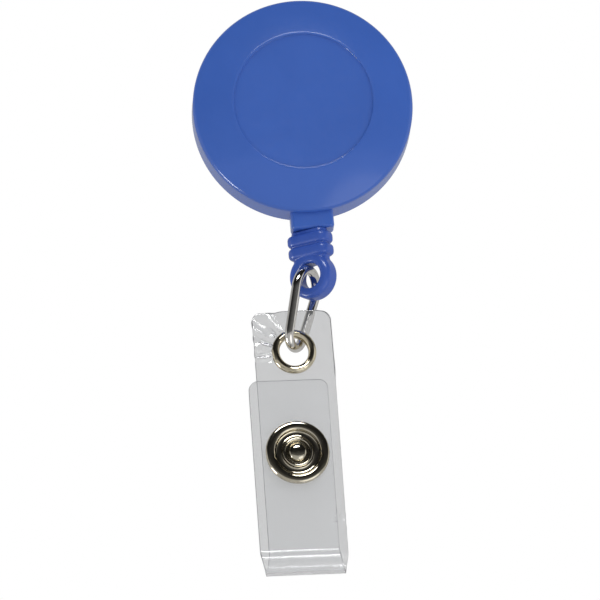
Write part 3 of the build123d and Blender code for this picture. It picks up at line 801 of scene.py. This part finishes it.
def strip_outline():
    """The flat strip with its four corners rounded."""
    half = STRAP_WIDTH / 2
    corners = (
        (half - STRAP_CORNER, STRIP_LENGTH - STRAP_CORNER, 0),
        (STRAP_CORNER - half, STRIP_LENGTH - STRAP_CORNER, 1),
        (STRAP_CORNER - half, STRAP_CORNER, 2),
        (half - STRAP_CORNER, STRAP_CORNER, 3),
    )
    outline = []
    for x, along, quarter in corners:
        for k in range(CORNER_STEPS + 1):
            angle = pi / 2 * (quarter + k / CORNER_STEPS)
            out, up = STRAP_CORNER * cos(angle), STRAP_CORNER * sin(angle)
            outline.append(Vector((x + out, along + up)))
    dense = []
    for a, b in zip(outline, outline[1:] + outline[:1]):
        parts = max(1, round((b - a).length / GRID_STEP))
        dense.extend(a.lerp(b, k / parts) for k in range(parts))
    return dense


def make_strap():
    """One strip of clear vinyl: rear ply, fold and front flap, punched for the fasteners."""
    rear_snap = STRAP_TOP - SNAP.z
    front_snap = REAR_LENGTH + FOLD_LENGTH + SNAP.z - FOLD_LEVEL
    holes = (
        (0.0, STRAP_TOP, EYELET_HOLE),
        (SNAP.x, rear_snap, SNAP_HOLE),
        (SNAP.x - FLAP_OFFSET, front_snap, SNAP_HOLE),
    )
    outline = strip_outline()
    loops = [outline] + [circle_on_strip(*hole) for hole in holes]
    points, edges = [], []
    for loop in loops:
        first = len(points)
        points.extend(loop)
        edges.extend((first + k, first + (k + 1) % len(loop)) for k in range(len(loop)))
    half = STRAP_WIDTH / 2 - RIM_GAP * GRID_STEP
    columns = int(2 * half / GRID_STEP)
    rows = int(STRIP_LENGTH / GRID_STEP)
    for row in range(1, rows):
        for column in range(columns + 1):
            x = -half + 2 * half * column / columns
            along = STRIP_LENGTH * row / rows
            past = max(abs(x) - STRAP_WIDTH / 2 + STRAP_CORNER, 0)
            end = max(STRAP_CORNER - min(along, STRIP_LENGTH - along), 0)
            inside = hypot(past, end) < STRAP_CORNER - CORNER_GAP
            clear = all(hypot(x - h[0], along - h[1]) > h[2] + HOLE_GAP for h in holes)
            if inside and clear:
                points.append(Vector((x, along)))
    rim = [list(range(len(outline)))]
    flat, _, faces, _, _, _ = delaunay_2d_cdt(points, edges, rim, 1, 1e-5)

    def punched(face):
        centre = sum((flat[k] for k in face), Vector((0, 0))) / len(face)
        return any(hypot(centre.x - h[0], centre.y - h[1]) < h[2] for h in holes)

    kept = [face for face in faces if not punched(face)]
    strap = new_piece("vinyl_strap", [strip_point(p.x, p.y) for p in flat], kept, 80)
    bm = bmesh.new()
    bm.from_mesh(strap.data)
    loose = [v for v in bm.verts if not v.link_faces]
    bmesh.ops.delete(bm, geom=loose, context="VERTS")
    bm.to_mesh(strap.data)
    bm.free()
    strap.data.materials.append(MATERIALS["vinyl"])
    strap.data.materials.append(VINYL_EDGE)
    thick = strap.modifiers.new("thickness", "SOLIDIFY")
    thick.material_offset_rim = 1
    thick.thickness = VINYL * MM
    thick.offset = 0
    edge = strap.modifiers.new("edge", "BEVEL")
    edge.width = EDGE_BEVEL * MM
    edge.segments = 2
    edge.material = 1
    edge.limit_method = "ANGLE"
    edge.angle_limit = radians(60)
    bake_modifiers(strap)
    smooth(strap, 80)
    dress(strap, "vinyl", "strap_rear_ply", "strap_fold", "strap_front_flap")
    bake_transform(strap)


# ---------------------------------------------------------------- eyelet and snap
def facing_strap(x, z):
    """Places turned pieces on the strap: their heights point forwards."""

    def place(a, b, height):
        return on_strap(x + a, -height, z + b)

    return place


def make_eyelet():
    """Rolled eyelet: rounded front rim, barrel, and a rim rolled over the washer."""
    face = VINYL / 2
    back = -face - WASHER
    outline = [
        (EYELET_EDGE - 0.25, face - 0.02),
        (EYELET_EDGE, face + 0.02),
        (EYELET_EDGE - 0.04, face + 0.35 * EYELET_RISE),
        (EYELET_EDGE - 0.42, face + EYELET_RISE),
        (EYELET_BORE + 0.5, face + EYELET_RISE),
        (EYELET_BORE + 0.16, face + 0.66 * EYELET_RISE),
        (EYELET_BORE + 0.02, face),
        (EYELET_BORE + 0.02, back + 0.05),
        (EYELET_BORE + 0.14, back - 0.18),
        (EYELET_BORE + 0.4, back - 0.28),
        (EYELET_BORE + 0.68, back - 0.16),
        (EYELET_BORE + 0.7, back),
        (EYELET_BORE + 0.3, back),
        (EYELET_BORE + 0.28, face - 0.02),
    ]
    eyelet = lathe("eyelet_rolled", rounded(outline) + [outline[0]], facing_strap(0, 0))
    dress(eyelet, "eyelet_nickel", "eyelet", body="strap")


def make_snap_cap():
    """Pressed cap of the snap: raised rim, two rings and a small dome in the middle."""
    seat = PLY_SPACING + VINYL / 2
    outline = [
        (0, seat + 1.22),
        (0.8, seat + 1.16),
        (1.3, seat + 0.86),
        (1.45, seat + 0.3),
        (1.65, seat + 0.28),
        (1.78, seat + 0.7),
        (2.0, seat + 0.78),
        (2.2, seat + 0.68),
        (2.32, seat + 0.3),
        (3.05, seat + 0.26),
        (3.25, seat + 0.5),
        (3.4, seat + 0.84),
        (3.85, seat + 0.92),
        (SNAP_RADIUS - 0.2, seat + 0.84),
        (SNAP_RADIUS, seat + 0.35),
        (SNAP_RADIUS - 0.15, seat + 0.02),
        (SNAP_RADIUS - 0.5, seat + 0.01),
        (SNAP_HOLE, seat + 0.01),
        (SNAP_HOLE, seat - VINYL - 0.1),
        (0, seat - VINYL - 0.1),
    ]
    cap = lathe("snap_cap_pressed", rounded(outline, 2), facing_strap(SNAP.x, SNAP.z))
    dress(cap, "snap_nickel", "snap_cap", body="flap")


# ---------------------------------------------------------------- camera, light, floor
VIEW_AZIMUTH = radians(-3.5)
VIEW_ELEVATION = radians(-15)
VIEW_ROLL = radians(5)
VIEW_DISTANCE = 1.5
VIEW_WIDTH = 0.0867
AIM = Vector((-2.89, -6.2, -29.2)) * MM


def make_camera():
    back = Vector(
        (
            sin(VIEW_AZIMUTH) * cos(VIEW_ELEVATION),
            -cos(VIEW_AZIMUTH) * cos(VIEW_ELEVATION),
            sin(VIEW_ELEVATION),
        )
    )
    right = Vector((cos(VIEW_AZIMUTH), sin(VIEW_AZIMUTH), 0))
    up = back.cross(right)
    rolled_up = up * cos(VIEW_ROLL) + right * sin(VIEW_ROLL)
    rolled_right = right * cos(VIEW_ROLL) - up * sin(VIEW_ROLL)
    data = bpy.data.cameras.new("camera")
    data.sensor_width = 36
    data.lens = data.sensor_width * VIEW_DISTANCE / VIEW_WIDTH
    data.clip_start = 0.01
    data.clip_end = 20
    camera = bpy.data.objects.new("camera", data)
    bpy.context.scene.collection.objects.link(camera)
    turn = Matrix((rolled_right, rolled_up, back)).transposed().to_4x4()
    camera.matrix_world = Matrix.Translation(AIM + back * VIEW_DISTANCE) @ turn
    bpy.context.scene.camera = camera


# The world's greys, and the part of the way up, back or aside over which each one changes.
FILL_LOW = 1.1
FILL_HIGH = 0.68
FILL_SPAN = (-0.4, 0.9)
ROOM_LOW = 0.25
ROOM_HIGH = 0.015
ROOM_SPAN = (-0.5, 0.35)
SIDE_PANELS = 0.75
SIDE_SPAN = (0.88, 0.97)
BACKDROP_IN_GLOSS = 0.5
BACKDROP_SPAN = (-0.05, 0.4)
BACKDROP_THROUGH_VINYL = 0.64

# Name, azimuth, elevation, distance, width, height, power, and if only gloss sees it.
LIGHTS = (
    ("right_softbox", 42, -42, 0.8, 0.6, 0.6, 0.9, False),
    ("left_edge_light", -88, -31, 0.8, 0.26, 0.26, 2.8, True),
    ("upper_softbox", 5, 41, 0.9, 0.5, 0.24, 4.6, True),
)

FLOOR_HALF = 4.0
FLOOR_LEVEL = -1.02
FLOOR_DARK = (0.78, 0.78, 0.78)
FLOOR_LIGHT = (0.82, 0.82, 0.82)


def make_light(name, azimuth, elevation, distance, width, height, power, only_gloss):
    """Soft light that faces the object; azimuth 0 is in front of it, and degrees go right."""
    a, e = radians(azimuth), radians(elevation)
    towards = Vector((sin(a) * cos(e), -cos(a) * cos(e), sin(e)))
    data = bpy.data.lights.new(name, "AREA")
    data.shape = "ELLIPSE"
    data.size = width
    data.size_y = height
    data.energy = power
    light = bpy.data.objects.new(name, data)
    bpy.context.scene.collection.objects.link(light)
    light.location = AIM + towards * distance
    light.rotation_mode = "QUATERNION"
    light.rotation_quaternion = towards.to_track_quat("Z", "Y")
    light.visible_diffuse = not only_gloss


# Places of a colour mix node's factor, first and second colour, and of its result.
COLOUR_MIX_INPUTS = (0, 6, 7)
COLOUR_MIX_OUTPUT = 2


class Sky:
    """The world's node tree, with short calls for its few nodes."""

    def __init__(self, world):
        self.tree = world.node_tree

    def link(self, value, socket):
        if isinstance(value, (int, float)):
            grey = (value, value, value, 1)
            socket.default_value = grey if socket.type == "RGBA" else value
        else:
            self.tree.links.new(value, socket)

    def ramp(self, source, low, high, start, end):
        """Grey that goes smoothly from start to end as source goes from low to high."""
        made = self.tree.nodes.new("ShaderNodeMapRange")
        made.interpolation_type = "SMOOTHSTEP"
        for socket, value in zip(made.inputs, (source, low, high, start, end)):
            self.link(value, socket)
        return made.outputs["Result"]

    def mix(self, factor, first, second):
        made = self.tree.nodes.new("ShaderNodeMix")
        made.data_type = "RGBA"
        for socket, value in zip(COLOUR_MIX_INPUTS, (factor, first, second)):
            self.link(value, made.inputs[socket])
        return made.outputs[COLOUR_MIX_OUTPUT]


def make_world():
    """White backdrop behind the object and a darker room in front, as metal shows it."""
    world = bpy.data.worlds.new("studio")
    bpy.context.scene.world = world
    world.use_nodes = True
    sky = Sky(world)
    where = sky.tree.nodes.new("ShaderNodeTexCoord")
    split = sky.tree.nodes.new("ShaderNodeSeparateXYZ")
    sky.link(where.outputs["Generated"], split.inputs["Vector"])
    room = sky.ramp(split.outputs["Z"], *ROOM_SPAN, ROOM_LOW, ROOM_HIGH)
    fill = sky.ramp(split.outputs["Z"], *FILL_SPAN, FILL_LOW, FILL_HIGH)
    behind = sky.ramp(split.outputs["Y"], *BACKDROP_SPAN, 0.0, 1.0)
    width = sky.tree.nodes.new("ShaderNodeMath")
    width.operation = "ABSOLUTE"
    sky.link(split.outputs["X"], width.inputs[0])
    beside = sky.ramp(width.outputs["Value"], *SIDE_SPAN, 0.0, 1.0)
    room = sky.mix(beside, room, SIDE_PANELS)
    mirrored = sky.mix(behind, room, BACKDROP_IN_GLOSS)
    path = sky.tree.nodes.new("ShaderNodeLightPath")
    colour = sky.mix(path.outputs["Is Diffuse Ray"], mirrored, fill)
    colour = sky.mix(path.outputs["Is Transmission Ray"], colour, BACKDROP_THROUGH_VINYL)
    colour = sky.mix(path.outputs["Is Camera Ray"], colour, 1.0)
    sky.link(colour, sky.tree.nodes["Background"].inputs["Color"])


def make_floor():
    """Pale floor, below the reach of the cord when it is pulled out."""
    signs = ((-1, -1), (1, -1), (1, 1), (-1, 1))
    corners = [(x * FLOOR_HALF, y * FLOOR_HALF, FLOOR_LEVEL) for x, y in signs]
    floor = new_piece("floor", corners, [[0, 1, 2, 3]])
    shader = Shader("floor_paint")
    tone = shader.noise(0.004, 3.0)
    shader.feed("Base Color", shader.ramp(tone, (0.3, FLOOR_DARK), (0.7, FLOOR_LIGHT)))
    floor.data.materials.append(shader.material)


def make_studio():
    bpy.context.scene.view_settings.view_transform = "Standard"
    make_world()
    for light in LIGHTS:
        make_light(*light)
    make_floor()


make_camera()
dress_cad_nodes()
make_cover()
make_cord()
make_winding()
make_knot()
make_cord_end()
make_link()
make_strap()
make_eyelet()
make_snap_cap()
make_studio()
